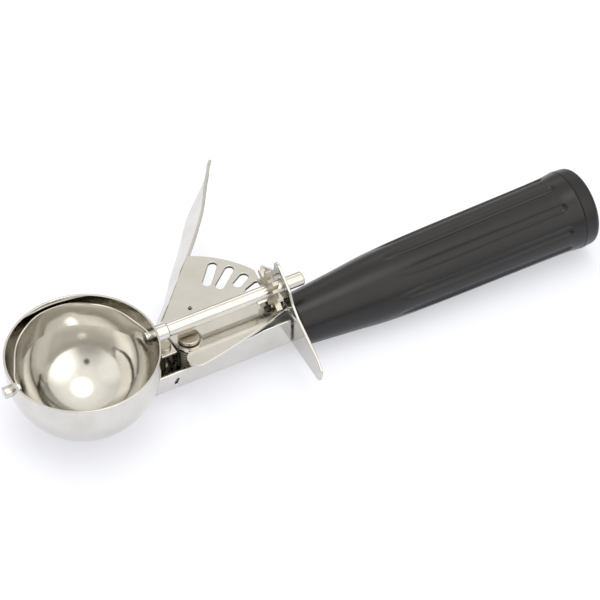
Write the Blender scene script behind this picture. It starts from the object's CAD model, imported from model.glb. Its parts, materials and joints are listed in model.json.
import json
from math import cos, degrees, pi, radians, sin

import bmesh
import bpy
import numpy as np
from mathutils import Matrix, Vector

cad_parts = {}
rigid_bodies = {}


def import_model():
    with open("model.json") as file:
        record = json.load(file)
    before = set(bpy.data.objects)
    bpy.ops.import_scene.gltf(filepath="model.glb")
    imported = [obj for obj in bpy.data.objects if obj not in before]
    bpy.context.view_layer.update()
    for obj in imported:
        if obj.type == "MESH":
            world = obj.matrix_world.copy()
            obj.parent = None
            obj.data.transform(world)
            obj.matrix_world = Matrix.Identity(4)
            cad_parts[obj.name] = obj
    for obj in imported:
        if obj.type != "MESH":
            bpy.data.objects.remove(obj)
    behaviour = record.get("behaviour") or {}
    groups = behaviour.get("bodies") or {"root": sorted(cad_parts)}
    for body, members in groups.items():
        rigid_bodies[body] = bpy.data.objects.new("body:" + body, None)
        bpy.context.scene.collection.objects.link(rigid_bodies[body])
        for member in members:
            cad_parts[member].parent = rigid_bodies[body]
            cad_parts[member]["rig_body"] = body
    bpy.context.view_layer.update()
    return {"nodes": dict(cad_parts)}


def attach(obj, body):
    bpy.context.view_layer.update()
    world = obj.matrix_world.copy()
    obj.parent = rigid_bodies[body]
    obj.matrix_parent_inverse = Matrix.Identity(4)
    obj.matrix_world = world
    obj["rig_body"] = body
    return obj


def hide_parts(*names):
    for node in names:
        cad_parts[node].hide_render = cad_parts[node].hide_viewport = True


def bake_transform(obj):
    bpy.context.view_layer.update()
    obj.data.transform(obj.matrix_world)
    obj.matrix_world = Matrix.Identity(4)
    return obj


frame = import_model()

# %% [markdown]
# ## A thumb-lever ice cream scoop
# The scoop is a spun steel bowl, a sprung steel blade that sweeps round inside it, a stamped lever
# that turns the blade, and a moulded grip. Its solids were drawn in CAD and arrive as the frame: they
# already have the right shapes and places, in metres. This script gives them their surfaces, adds
# the small roundings and tool marks that make metal look like metal, and lights the whole.
# Everything is placed with the same origin: the centre of the bowl's rim, +X towards the handle,
# +Z out of the bowl's mouth.

MM = 0.001
scene = bpy.context.scene


def paint(hex_colour):
    """Turn an sRGB hex colour into the linear RGBA that Blender's sockets take."""
    channels = [int(hex_colour[i:i + 2], 16) / 255 for i in (1, 3, 5)]
    return (*[c / 12.92 if c <= 0.04045 else ((c + 0.055) / 1.055) ** 2.4 for c in channels], 1)


print("parts in the frame:", len(frame["nodes"]), "grey card is", round(paint("#777777")[0], 3))

# %% [markdown]
# ## One way to add a shader node
# A procedural material is a small network of nodes. Written out, each node takes many lines: make
# it, set its options, fill its inputs, link it. One helper does all four and hands back the output
# that the next node needs, so a network reads from top to bottom like a recipe.

# %% Node helper
def node(tree, kind, inputs=(), out=0, **options):
    """Add a shader node, fill its inputs with values or other nodes' outputs, give back an output."""
    made = tree.nodes.new("ShaderNode" + kind)
    for name, value in options.items():
        setattr(made, name, value)
    for place, value in inputs.items() if isinstance(inputs, dict) else enumerate(inputs):
        if isinstance(value, bpy.types.NodeSocket):
            tree.links.new(value, made.inputs[place])
        else:
            made.inputs[place].default_value = value
    return made.outputs[out]


def start_material(name, **surface):
    """A material with plain numbers on its Principled shader; gives material, tree and shader."""
    material = bpy.data.materials.new(name)
    material.use_nodes = True
    shader = material.node_tree.nodes["Principled BSDF"]
    for socket, value in surface.items():
        shader.inputs[socket.replace("_", " ")].default_value = value
    return material, material.node_tree, shader


print("helper ready:", node.__name__)

# %% [markdown]
# ## Where the polishing lines run
# Polished steel still carries fine lines from the wheel or the lathe, and they always follow the
# tool. A spun bowl has rings round its axis, a turned rod has rings round its length, and rolled
# sheet has straight lines. Noise is stretched to make them: the coordinate across the lines is
# multiplied up, and the one along them is kept small. Real lines are a few hundredths of a
# millimetre apart, too fine to show at this size, so they are drawn 0.25 mm apart.

# %% Grain coordinates
LINE_SPACING = 0.25 * MM
ALONG_LINES = 16 * MM  # how far a line runs before it fades into the next
BOWL_CENTRE = (0, 0, -5.4 * MM)
PIVOT = (37 * MM, -2 * MM, 0)


def straight_grain(tree, turn=0):
    """Coordinates for lines along X, or turned about Z by some degrees."""
    place = node(tree, "TexCoord", out="Object")
    turned = node(tree, "Mapping", {"Vector": place, "Rotation": (0, 0, radians(turn))})
    stretch = (1 / ALONG_LINES, 1 / LINE_SPACING, 1 / LINE_SPACING)
    return node(tree, "VectorMath", (turned, stretch), operation="MULTIPLY")


def ring_grain(tree, axis, centre, on_ends=1.0):
    """Coordinates for rings round an axis: distance from it (finer or coarser) and place along it."""
    place = node(tree, "TexCoord", out="Object")
    along = Vector([float(name == axis) for name in "XYZ"])
    moved = node(tree, "VectorMath", (place, centre), operation="SUBTRACT")
    flat = node(tree, "VectorMath", (moved, Vector((1, 1, 1)) - along), operation="MULTIPLY")
    radius = node(tree, "VectorMath", (flat,), out="Value", operation="LENGTH")
    depth = node(tree, "VectorMath", (moved, along), out="Value", operation="DOT_PRODUCT")
    both = node(tree, "CombineXYZ", (radius, depth, 0))
    stretch = (on_ends / LINE_SPACING, 1 / LINE_SPACING, 0)
    return node(tree, "VectorMath", (both, stretch), operation="MULTIPLY")


print("polishing lines", round(LINE_SPACING / MM, 2), "mm apart")

# %% [markdown]
# ## What handling does to a polished surface
# Two marks come back on every metal and plastic here. Wiping leaves soft cloudy patches, a noise
# about as large as a fingertip. A drawer leaves hairline scratches: the thin crests of a noise that
# is stretched one way, broken up by the patches so that no scratch runs on for ever.

# %% Clouds and hairlines
FINGERTIP = 14 * MM
SCRATCH_SPACING = 6 * MM
SCRATCH_PATCH = 9 * MM  # a scratch runs about this far before it fades


def clouds(tree, size, detail=4.0):
    """Soft patches of about one size, from 0 to 1."""
    place = node(tree, "TexCoord", out="Object")
    return node(tree, "TexNoise",
                {"Vector": place, "Scale": 1 / size, "Detail": detail, "Roughness": 0.6})


def scratches(tree, turn, seed):
    """Hairlines that run one way, from 0 to 1."""
    place = node(tree, "TexCoord", out="Object")
    turned = node(tree, "Mapping", {
        "Vector": place, "Location": (seed, seed, 0),
        "Rotation": (radians(turn), radians(turn / 2), radians(turn)),
        "Scale": (1 / SCRATCH_SPACING, 0.06 / SCRATCH_SPACING, 1 / SCRATCH_SPACING),
    })
    waves = node(tree, "TexNoise", {"Vector": turned, "Scale": 1.4, "Detail": 2.0})
    centred = node(tree, "Math", (waves, 0.5), operation="SUBTRACT")
    crest = node(tree, "Math", (centred,), operation="ABSOLUTE")
    thin = node(tree, "MapRange", (crest, 0.006, 0.0, 0.0, 1.0))
    here = node(tree, "MapRange", (clouds(tree, SCRATCH_PATCH), 0.5, 0.6, 0.0, 1.0))
    return node(tree, "Math", (thin, here), operation="MULTIPLY")


print("scratches", round(SCRATCH_SPACING / MM, 1), "mm apart, clouds", round(FINGERTIP / MM, 1), "mm")

# %% [markdown]
# ## Polished stainless steel
# 18/8 stainless, pressed or turned and then buffed. Buffing leaves a near mirror, warmer than
# chrome. A metal has no diffuse colour, so everything that the eye reads as steel lives in its tint,
# its roughness and a very shallow relief: the tool's lines, the wiped clouds and the hairlines.
# Chromium steel reflects about two thirds of the light and a little less of the blue, which is why
# light that bounces twice, as inside the bowl, comes back olive. One function makes every steel
# here, because they differ only in grain, tint and gloss.

# %% Stainless steel
STEEL_CLEAN = "#DAD8D3"
STEEL_WIPED = "#C8C5BE"
SHEARED = "#4E4A43"  # the torn surface that a punch leaves on the wall of a slot
WAVE = 11 * MM  # sheet is never quite flat after pressing


def stainless(name, grain, clean=STEEL_CLEAN, wiped=STEEL_WIPED, gloss=(0.10, 0.2), line_depth=0.004,
              waviness=4.0, cut=None):
    """Polished steel: lines from its tool, clouds, hairlines, a slight waviness, dull cut walls."""
    material, tree, shader = start_material(name, Metallic=1.0)
    lines = node(tree, "TexNoise", {"Vector": grain(tree), "Scale": 1.0, "Detail": 2.0})
    patches = node(tree, "MapRange", (clouds(tree, FINGERTIP), 0.35, 0.7, 0.0, 0.7))
    worn = node(tree, "Math", (lines, 0.3, patches), operation="MULTIPLY_ADD")
    hairs = node(tree, "Math", (scratches(tree, 35, 0.3), scratches(tree, 100, 0.7)),
                 operation="MAXIMUM")
    scuffed = node(tree, "Math", (hairs, 0.5, worn), operation="MULTIPLY_ADD")
    fine = node(tree, "Math", (hairs, -1.5, lines), operation="MULTIPLY_ADD")
    relief = node(tree, "Math", (clouds(tree, WAVE, 0.0), waviness, fine), operation="MULTIPLY_ADD")
    tint = node(tree, "Mix", {0: worn, 6: paint(clean), 7: paint(wiped)}, 2, data_type="RGBA")
    rough = node(tree, "MapRange", (scuffed, 0.1, 1.2, *gloss))
    if cut:
        wall = cut(tree)
        tint = node(tree, "Mix", {0: wall, 6: tint, 7: paint(SHEARED)}, 2, data_type="RGBA")
        rough = node(tree, "Math", (wall, 0.25, rough), operation="MULTIPLY_ADD")
    tree.links.new(tint, shader.inputs["Base Color"])
    tree.links.new(rough, shader.inputs["Roughness"])
    tree.links.new(node(tree, "Bump", {"Height": relief, "Strength": 1.0, "Distance": line_depth * MM}),
                   shader.inputs["Normal"])
    return material


print("stainless reflects", [round(c, 2) for c in paint(STEEL_CLEAN)[:3]])

# %% [markdown]
# ## The walls of the punched slots
# A punch shears its way through sheet and leaves a torn grey wall, and no wheel gets into a slot to
# polish it. The walls are found by their direction, since a wall stands upright, and by their place
# on the lever, so that its outer edges stay bright.

# %% Slot walls
SLOTS_FROM = 24 * MM  # the slots lie beyond this from the pivot
SLOTS_BEHIND = -2 * MM  # and behind this line, which keeps the lever's near edge bright


def punched_walls(tree):
    """1 on the upright walls of the lever's slots, 0 on the rest of the sheet."""
    lean = node(tree, "SeparateXYZ", (node(tree, "NewGeometry", out="True Normal"),), 2)
    flat = node(tree, "Math", (lean,), operation="ABSOLUTE")
    upright = node(tree, "MapRange", (flat, 0.35, 0.2, 0.0, 1.0))
    place = node(tree, "TexCoord", out="Object")
    moved = node(tree, "VectorMath", (place, PIVOT), operation="SUBTRACT")
    in_plan = node(tree, "VectorMath", (moved, (1, 1, 0)), operation="MULTIPLY")
    reach = node(tree, "VectorMath", (in_plan,), out="Value", operation="LENGTH")
    far = node(tree, "MapRange", (reach, SLOTS_FROM, SLOTS_FROM + 0.5 * MM, 0.0, 1.0))
    depth = node(tree, "SeparateXYZ", (moved,), 1)
    behind = node(tree, "MapRange", (depth, SLOTS_BEHIND, SLOTS_BEHIND + 0.2 * MM, 0.0, 1.0))
    slots = node(tree, "Math", (far, behind), operation="MULTIPLY")
    return node(tree, "Math", (slots, upright), operation="MULTIPLY")


print("slot walls start", round(SLOTS_FROM / MM, 1), "mm from the pivot")

# %% [markdown]
# ## One steel for each way of working it
# The bowl is spun, the blade is rolled strip, the neck is folded sheet, the lever is stamped and the
# shaft is turned. Each gets the grain of its tool, and the more it was buffed, the lower its
# roughness. The milled pinion and the headed rivets never saw the buffing wheel, so they are darker
# and duller.

# %% The steels
spun_steel = stainless("spun_stainless_bowl", lambda tree: ring_grain(tree, "Z", BOWL_CENTRE),
                       gloss=(0.06, 0.15))
strip_steel = stainless("rolled_stainless_blade", lambda tree: ring_grain(tree, "Y", BOWL_CENTRE),
                        gloss=(0.08, 0.18))
folded_steel = stainless("folded_stainless_sheet", straight_grain, gloss=(0.10, 0.22))
stamped_steel = stainless("stamped_stainless_lever", lambda tree: straight_grain(tree, 60),
                          gloss=(0.09, 0.2), cut=punched_walls)
turned_steel = stainless("turned_stainless", lambda tree: ring_grain(tree, "X", BOWL_CENTRE, 0.1),
                         gloss=(0.10, 0.2), waviness=0.0)
cut_steel = stainless("milled_stainless_gear", lambda tree: ring_grain(tree, "X", BOWL_CENTRE, 0.1),
                      "#C9C4B8", "#A9A396", (0.2, 0.34), 0.006, waviness=0.0)
headed_steel = stainless("cold_headed_rivet", lambda tree: ring_grain(tree, "Z", PIVOT),
                         "#BDB6A9", "#A09A8D", (0.12, 0.24), 0.006, waviness=0.0)
polished = (spun_steel, strip_steel, folded_steel, stamped_steel, turned_steel)
print("polished:", [m.name for m in polished], "duller:", cut_steel.name, headed_steel.name)

# %% [markdown]
# ## Spring wire and zinc plate
# The return spring is hard-drawn wire. Drawing through a die leaves it darker and duller than
# polished steel. The rod, nut and washer inside the grip are mild steel with a zinc coat: bluish,
# and frosted by the plating bath.

# %% Wire and zinc
drawn_wire = stainless("drawn_spring_wire", lambda tree: ring_grain(tree, "Z", PIVOT),
                       "#8F8A82", "#6C675F", (0.22, 0.38), 0.006)
zinc_plate = stainless("zinc_plated_steel", straight_grain, "#B4B8BE", "#9A9EA6", (0.3, 0.5))
print("duller metals:", drawn_wire.name, zinc_plate.name)

# %% [markdown]
# ## Moulded polypropylene grip
# The grip is a charcoal thermoplastic, injection moulded against a satin steel cavity. It gives a
# soft highlight where steel would give a mirror image. Under the highlight there are faint flow
# marks along the length, a fine grain, and spots that the palm has polished. The IOR of
# polypropylene is 1.49, and its surface roughness off such a mould is near 0.3. The fine grain
# traps a little of the light, which a specular level just below the neutral 0.5 stands for.

# %% Grip plastic
GRAIN_SIZE = 0.45 * MM  # real grain is near 0.1 mm; drawn coarser so that it shows
FLOW_LENGTH = 40 * MM
PALM = 22 * MM  # size of the patches that a hand has polished


def moulded_plastic(name, dark, pale, gloss):
    """Satin plastic: fine grain, long flow marks and handled patches."""
    material, tree, shader = start_material(name, Metallic=0.0, IOR=1.49,
                                            Specular_IOR_Level=0.42)
    place = node(tree, "TexCoord", out="Object")
    flow = node(tree, "Mapping",
                {"Vector": place, "Scale": (1 / FLOW_LENGTH, 8 / FLOW_LENGTH, 8 / FLOW_LENGTH)})
    marks = node(tree, "TexNoise", {"Vector": flow, "Scale": 1.0, "Detail": 3.0})
    grain = clouds(tree, GRAIN_SIZE, 2.0)
    palm = node(tree, "MapRange", (clouds(tree, PALM), 0.35, 0.65, 0.0, 1.0))
    shade = node(tree, "Mix", {0: 0.4, 2: marks, 3: grain})
    dull = node(tree, "Mix", {0: 0.4, 2: palm, 3: grain})
    tint = node(tree, "Mix", {0: shade, 6: paint(dark), 7: paint(pale)}, 2, data_type="RGBA")
    tree.links.new(tint, shader.inputs["Base Color"])
    tree.links.new(node(tree, "MapRange", (dull, 0.0, 1.0, *gloss)), shader.inputs["Roughness"])
    tree.links.new(node(tree, "Bump", {"Height": grain, "Strength": 0.3, "Distance": 0.01 * MM}),
                   shader.inputs["Normal"])
    return material


grip_plastic = moulded_plastic("moulded_polypropylene_grip", "#101012", "#19191B", (0.23, 0.33))
cap_plastic = moulded_plastic("moulded_polypropylene_cap", "#0F0F10", "#161617", (0.30, 0.42))
print("plastics:", grip_plastic.name, cap_plastic.name)

# %% [markdown]
# ## Which finish each part gets
# Each part is given its material, and for the pieces that stand in for a solid the record's name of
# that finish as well. What isn't listed is turned steel.

# %% Finishes
finish_of = {
    "bowl": (spun_steel, "bowl_steel"),
    "scraper_blade": (strip_steel, "blade_steel"),
    "thumb_lever": (stamped_steel, "lever_steel"),
    "neck_channel": (folded_steel, "frame_steel"),
    "bridge_plate": (folded_steel, "frame_steel"),
    "guard_plate": (folded_steel, "frame_steel"),
    "pinion": (cut_steel, "turned_steel"),
    "pivot_rivet": (headed_steel, "turned_steel"),
    "bridge_rivet": (headed_steel, "turned_steel"),
    "return_spring": (drawn_wire, "spring_steel"),
    "handle_tang": (zinc_plate, "rod_steel"),
    "tang_nut": (zinc_plate, "rod_steel"),
    "tang_washer": (zinc_plate, "rod_steel"),
    "handle_grip": (grip_plastic, "grip_plastic"),
    "handle_end_cap": (cap_plastic, "grip_plastic"),
}
for name, solid in frame["nodes"].items():
    solid.data.materials.clear()
    solid.data.materials.append(finish_of.get(name, (turned_steel, "turned_steel"))[0])

print("parts with a finish of their own:", len(finish_of))

# %% [markdown]
# ## Edges of sheet metal
# Sheet that has been stamped and tumbled has no sharp corners: a rim 0.1 to 0.3 mm round catches
# the light and draws every outline. The solids have sharp corners, so each sheet piece is copied,
# its flat faces are joined up, and a Bevel modifier rounds every edge that turns more than 35
# degrees. The copy then stands in for the solid. Editing the solid itself would break the link with
# the CAD, and a bevel made only in the shader would be lost on export.

# %% Rounded copies
EDGE_TURN = radians(35)
EDGE_WIDTHS = {  # millimetres taken off each side of an edge
    "thumb_lever": 0.3,
    "guard_plate": 0.28,
    "neck_channel": 0.35,
    "bridge_plate": 0.2,
    "pinion": 0.16,
    "pivot_washer": 0.08,
    "rear_bearing_collar": 0.3,
}


def rounded_copy(part, width):
    """Copy a CAD part, join its flat triangles and round its edges; the copy replaces the part."""
    solid = frame["nodes"][part]
    mesh = solid.data.copy()
    shape = bmesh.new()
    shape.from_mesh(mesh)
    bmesh.ops.remove_doubles(shape, verts=shape.verts, dist=0.001 * MM)
    bmesh.ops.dissolve_limit(
        shape, angle_limit=radians(0.5), verts=shape.verts, edges=shape.edges, use_dissolve_boundaries=False
    )
    for face in shape.faces:
        face.smooth = True
    shape.to_mesh(mesh)
    shape.free()
    if "custom_normal" in mesh.attributes:
        mesh.attributes.remove(mesh.attributes["custom_normal"])
    piece = bpy.data.objects.new(part + "_finished", mesh)
    scene.collection.objects.link(piece)
    bevel = piece.modifiers.new("rounded_edges", "BEVEL")
    bevel.width = width * MM
    bevel.segments = 3
    bevel.limit_method = "ANGLE"
    bevel.angle_limit = EDGE_TURN
    bevel.use_clamp_overlap = False
    bevel.harden_normals = True
    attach(piece, solid["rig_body"])
    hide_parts(part)
    print(piece.name, len(mesh.vertices), "corners before rounding")


for part, width in EDGE_WIDTHS.items():
    rounded_copy(part, width)

# %% [markdown]
# ## A spring that winds up
# The return spring has one leg hooked in the neck and the other in the lever, so a press of the
# lever winds its coil. A rigid coil would be left behind and cut through the lever. A copy of it
# bends between the two bodies instead: the leg below stays with the neck, the leg above goes with
# the lever, and the turns between them share the lever's angle, as the real wire does.

# %% Wound spring
spring = bpy.data.objects.new("wound_spring", frame["nodes"]["return_spring"].data.copy())
scene.collection.objects.link(spring)
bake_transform(spring)
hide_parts("return_spring")

# %% [markdown]
# ## The fluted grip
# The grip is a turned shape that swells from the guard to the cap, with ten grooves along it. A
# moulding never has a knife edge where a groove meets the skin, and a Bevel modifier does poorly
# on the long thin triangles of a curved solid. So the skin is built as one fine grid instead: a
# radius at every place along the handle and every direction round it. The groove is the surface of
# a ball-nosed cutter, and it meets the skin by a smooth minimum, which rounds the shoulder.

# %% Grip shape
HANDLE_FRONT = Vector((73.5, -2.0, -22.98)) * MM
HANDLE_TILT = radians(0.95)
SKIN = [(1.8, 9.1), (10.5, 9.95), (22.5, 11.1), (34.5, 12.3), (46.5, 12.9), (60.0, 13.2), (84.0, 13.5),
        (105.3, 13.85), (111.5, 14.45)]
FLUTE_RUN = ((41.0, 14.85), (104.5, 16.05))  # cutter's centre: place along, distance from the middle
FLUTE_FADE = (37.0, 54.0)  # the cutter comes down from the skin between these
FLUTE_DEPTH = 0.8
FLUTE_CUTTER = 3.0
FLUTE_COUNT = 10
FLUTE_FIRST = 88.0
SHOULDER = 0.1  # how softly a groove meets the skin


def smooth_through(points, at):
    """A curve through points without overshoot, by cubic pieces with limited slopes."""
    x, y = np.array(points).T
    step, rise = np.diff(x), np.diff(y) / np.diff(x)
    slope = np.concatenate([[rise[0]], 2 / (1 / rise[1:] + 1 / rise[:-1]), [rise[-1]]])
    k = np.clip(np.searchsorted(x, at) - 1, 0, len(step) - 1)
    t = (at - x[k]) / step[k]
    return ((2 * t**3 - 3 * t**2 + 1) * y[k] + (t**3 - 2 * t**2 + t) * step[k] * slope[k]
            + (3 * t**2 - 2 * t**3) * y[k + 1] + (t**3 - t**2) * step[k] * slope[k + 1])


def grooved(along, skin, turn):
    """Radius of the skin at a place along the handle and a direction round it, grooves cut."""
    (start, near), (end, far) = FLUTE_RUN
    down = min(1, max(0, (along - FLUTE_FADE[0]) / (FLUTE_FADE[1] - FLUTE_FADE[0])))
    centre = near + (far - near) * (along - start) / (end - start) + FLUTE_DEPTH * (1 - down) ** 2
    beyond = max(0, along - end)
    pitch = 2 * pi / FLUTE_COUNT
    away = (turn - radians(FLUTE_FIRST) + pitch / 2) % pitch - pitch / 2
    reach = FLUTE_CUTTER**2 - beyond**2 - (centre * np.sin(away)) ** 2
    groove = centre * np.cos(away) - np.sqrt(np.maximum(reach, 0))
    groove = np.where(reach > 0, groove, skin + 5)
    return skin - SHOULDER * np.log1p(np.exp(np.clip((skin - groove) / SHOULDER, -40, 40)))


print("skin radius half way", round(float(smooth_through(SKIN, np.array([55.0]))[0]), 2), "mm")

# %% [markdown]
# The grid's rows sit closer together where the shape turns quickly: at the rounded front, at both
# ends of the grooves, and at the seam with the cap. The inside of the grip is closed with the bore
# for the rod and the socket for the nut, so that the mesh is a solid and not a shell.

# %% Grip mesh
ROUND_FRONT = 1.2
SEAM_ROUND = 0.25
TURNS = 400


def grip_rows():
    """Rows of (place along, radius, has grooves) from the bore in front, over the skin, to the socket."""
    rows = [(1.8, 3.1, False), (1.8, 6.0, False)]
    for step in np.linspace(0, pi / 2, 7):
        rows.append((1.8 + ROUND_FRONT * (1 - sin(step)), 9.22 - ROUND_FRONT * (1 - cos(step)), False))
    rows = rows[:2] + rows[:1:-1]
    skin = np.concatenate([np.linspace(4.0, 36, 20), np.linspace(37, 44, 24), np.linspace(45, 100, 30),
                           np.linspace(101, 108, 24), np.linspace(108.5, 111.1, 7)])
    rows += [(s, float(r), True) for s, r in zip(skin, smooth_through(SKIN, skin))]
    for step in np.linspace(0, pi / 2, 4):
        rows.append((111.5 - SEAM_ROUND * (1 - sin(step)), 14.42 - SEAM_ROUND * (1 - cos(step)), False))
    return rows + [(111.5, 9.0, False), (101.0, 9.0, False), (101.0, 3.1, False)]


def turned_mesh(name, rows, turns):
    """Close the rows into a ring-shaped solid round the handle's line."""
    turn = np.arange(turns) * 2 * pi / turns
    shape = bmesh.new()
    rings = []
    for along, radius, has_grooves in rows:
        radii = grooved(along, radius, turn) if has_grooves else np.full(turns, radius)
        ring = []
        for angle, r in zip(turn, radii):
            across, up = r * cos(angle), r * sin(angle)
            ring.append(shape.verts.new((
                HANDLE_FRONT.x + (along * cos(HANDLE_TILT) - up * sin(HANDLE_TILT)) * MM,
                HANDLE_FRONT.y + across * MM,
                HANDLE_FRONT.z + (along * sin(HANDLE_TILT) + up * cos(HANDLE_TILT)) * MM,
            )))
        rings.append(ring)
    for ring, following in zip(rings, rings[1:] + rings[:1]):
        for k in range(turns):
            face = shape.faces.new((ring[k], ring[(k + 1) % turns], following[(k + 1) % turns], following[k]))
            face.smooth = True
    bmesh.ops.recalc_face_normals(shape, faces=shape.faces)
    mesh = bpy.data.meshes.new(name)
    shape.to_mesh(mesh)
    shape.free()
    return mesh


grip = bpy.data.objects.new("fluted_grip", turned_mesh("fluted_grip", grip_rows(), TURNS))
scene.collection.objects.link(grip)
grip.data.materials.append(grip_plastic)
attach(grip, "frame")
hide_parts("handle_grip")
print("grip", len(grip.data.vertices), "points")

# %% [markdown]
# ## A floor to lie on
# The scoop lies on the bowl and on the thick end of its grip, so the floor leans a little against
# the shaft's level. It is a light table: a sheet of opal acrylic lit from below, so that shadows
# almost vanish. Its light is a little cooler than the steel, because that coolness is what the
# outside of the bowl mirrors.

# %% Floor
BOWL_FOOT = Vector((0, 0, -30.9)) * MM
CAP_FOOT = Vector((185.0, -2.0, -35.62)) * MM
lean = (BOWL_FOOT.z - CAP_FOOT.z) / (CAP_FOOT.x - BOWL_FOOT.x)
bpy.ops.mesh.primitive_plane_add(size=6)
floor = bpy.context.object
floor.name = "floor"
floor.matrix_world = Matrix.Translation(BOWL_FOOT - Vector((0, 0, 0.05 * MM))) @ Matrix.Rotation(lean, 4, "Y")
opal_sheet, tree, shader = start_material("opal_acrylic_sheet", Roughness=0.9, Emission_Strength=0.46)
shader.inputs["Base Color"].default_value = paint("#BBBDC6")
shader.inputs["Emission Color"].default_value = paint("#FBFCFF")
floor.data.materials.append(opal_sheet)
print("floor leans", round(degrees(lean), 2), "degrees")

# %% [markdown]
# ## A white tent to mirror
# Polished metal shows its surroundings more than itself, so the surroundings are the real lighting.
# Silverware is shown in a white tent: bright cloth above and at the sides, a darker gap at table
# height, and a hole that the lens looks through. Here the tent is painted on the world: one
# gradient by height, and soft round patches that brighten or darken a direction. A lamp's hard
# rectangle would show in every curve of the bowl, and a soft patch doesn't.

# %% Tent
TENT_BY_HEIGHT = [(-1.0, "#B8B4AC"), (-0.02, "#A8A297"), (0.03, "#4A463F"), (0.09, "#A39D92"),
                  (0.22, "#DAD6CD"), (0.45, "#F2EFE8"), (1.0, "#FFFCF6")]
CREAM = Vector((1.0, 0.985, 0.95))  # cotton tent cloth
PATCHES = [  # azimuth from +X, elevation, full inside, gone outside (degrees), strength
    ("overhead lamp", -50, 84, 0, 19, 1.8),
    ("overhead cloth", -50, 80, 10, 48, 0.32),
    ("far cloth", 66, 34, 3, 12, 0.9),
    ("right cloth", -63, 31, 12, 40, 0.8),
    ("left cloth", 185, 40, 8, 28, 0.3),
]
SHADES = [  # the same, with the share of the light that is taken away
    ("lens hole", 241.1, 47.5, 2.5, 6, 0.92),
    ("front gap", 241, 12, 8, 34, 0.4),
]


def direction_to(azimuth, elevation):
    """Unit vector towards a place in the tent."""
    flat = cos(radians(elevation))
    return Vector((flat * cos(radians(azimuth)), flat * sin(radians(azimuth)), sin(radians(elevation))))


def soft_patch(tree, view, azimuth, elevation, inside, outside):
    """1 in the middle of a patch of the tent, 0 outside it, smooth between."""
    towards = node(tree, "VectorMath", (view, direction_to(azimuth, elevation)), "Value",
                   operation="DOT_PRODUCT")
    return node(tree, "MapRange", (towards, cos(radians(outside)), cos(radians(inside)), 0.0, 1.0),
                interpolation_type="SMOOTHSTEP")


tent = bpy.data.worlds.new("white_tent")
scene.world = tent
tent.use_nodes = True
tree = tent.node_tree
view = node(tree, "TexCoord", out="Generated")
height = node(tree, "SeparateXYZ", (view,), 2)
cloth = node(tree, "ValToRGB", (node(tree, "MapRange", (height, -1.0, 1.0, 0.0, 1.0)),))
stops = cloth.node.color_ramp.elements
for stop, (level, colour) in zip(stops, TENT_BY_HEIGHT[:1] + TENT_BY_HEIGHT[-1:]):
    stop.position, stop.color = (level + 1) / 2, paint(colour)
for level, colour in TENT_BY_HEIGHT[1:-1]:
    stops.new((level + 1) / 2).color = paint(colour)
light = cloth
for name, azimuth, elevation, inside, outside, strength in SHADES:
    patch = soft_patch(tree, view, azimuth, elevation, inside, outside)
    kept = node(tree, "Math", (patch, -strength, 1.0), operation="MULTIPLY_ADD")
    light = node(tree, "VectorMath", {0: light, "Scale": kept}, operation="SCALE")
for name, azimuth, elevation, inside, outside, strength in PATCHES:
    patch = soft_patch(tree, view, azimuth, elevation, inside, outside)
    light = node(tree, "VectorMath", (patch, strength * CREAM, light), operation="MULTIPLY_ADD")
tree.links.new(light, tree.nodes["Background"].inputs["Color"])
tree.nodes["Background"].inputs["Strength"].default_value = 1.0
print("tent with", len(PATCHES), "bright and", len(SHADES), "dark patches")

# %% [markdown]
# ## One soft lamp for the shadows
# The tent alone lights everything evenly, and the scoop would seem to float. One wide lamp above
# and behind gives the grip its shape and the floor a faint shadow. It is hidden from mirror
# reflections, which the tent already fills.

# %% Soft lamp
def soft_lamp(name, place, aim, width, depth, power):
    """A wide rectangular lamp at a place, turned to aim at a point, unseen in reflections."""
    data = bpy.data.lights.new(name, "AREA")
    data.shape = "RECTANGLE"
    data.size, data.size_y, data.energy = width, depth, power
    lamp = bpy.data.objects.new(name, data)
    scene.collection.objects.link(lamp)
    lamp.location = place
    lamp.rotation_euler = (Vector(aim) - Vector(place)).to_track_quat("-Z", "Y").to_euler()
    lamp.visible_glossy = False
    return lamp


top_lamp = soft_lamp("top_lamp", (0.1, 0.3, 0.9), (0.07, 0, -0.01), 0.7, 0.6, 1.5)  # metres, watts
scene.view_settings.view_transform = "Standard"
scene.cycles.glossy_bounces = 12  # light goes round inside the bowl many times
print(top_lamp.name, top_lamp.data.energy, "W, view", scene.view_settings.view_transform)

# %% [markdown]
# ## Camera
# A long lens from above and to the left of the bowl. Its place, its direction and its small roll
# are written as numbers, because a camera aimed by a constraint can't hold a roll.

# %% Camera
CAMERA_PLACE = Vector((-179.5, -470.6, 570.4)) * MM
TO_CAMERA = Vector((-0.32594, -0.59165, 0.73737)).normalized()
CAMERA_ROLL = radians(0.73)
LENS = 141.28
level = Vector((-TO_CAMERA.y, TO_CAMERA.x, 0)).normalized()
upright = TO_CAMERA.cross(level)
right = cos(CAMERA_ROLL) * level + sin(CAMERA_ROLL) * upright
up = cos(CAMERA_ROLL) * upright - sin(CAMERA_ROLL) * level
lens = bpy.data.cameras.new("camera")
lens.lens = LENS
lens.sensor_width = 36
lens.clip_start = 0.01
camera = bpy.data.objects.new("camera", lens)
scene.collection.objects.link(camera)
camera.matrix_world = Matrix.Translation(CAMERA_PLACE) @ Matrix((right, up, TO_CAMERA)).transposed().to_4x4()
scene.camera = camera
print("camera", [round(v, 3) for v in camera.location], "lens", LENS, "mm")
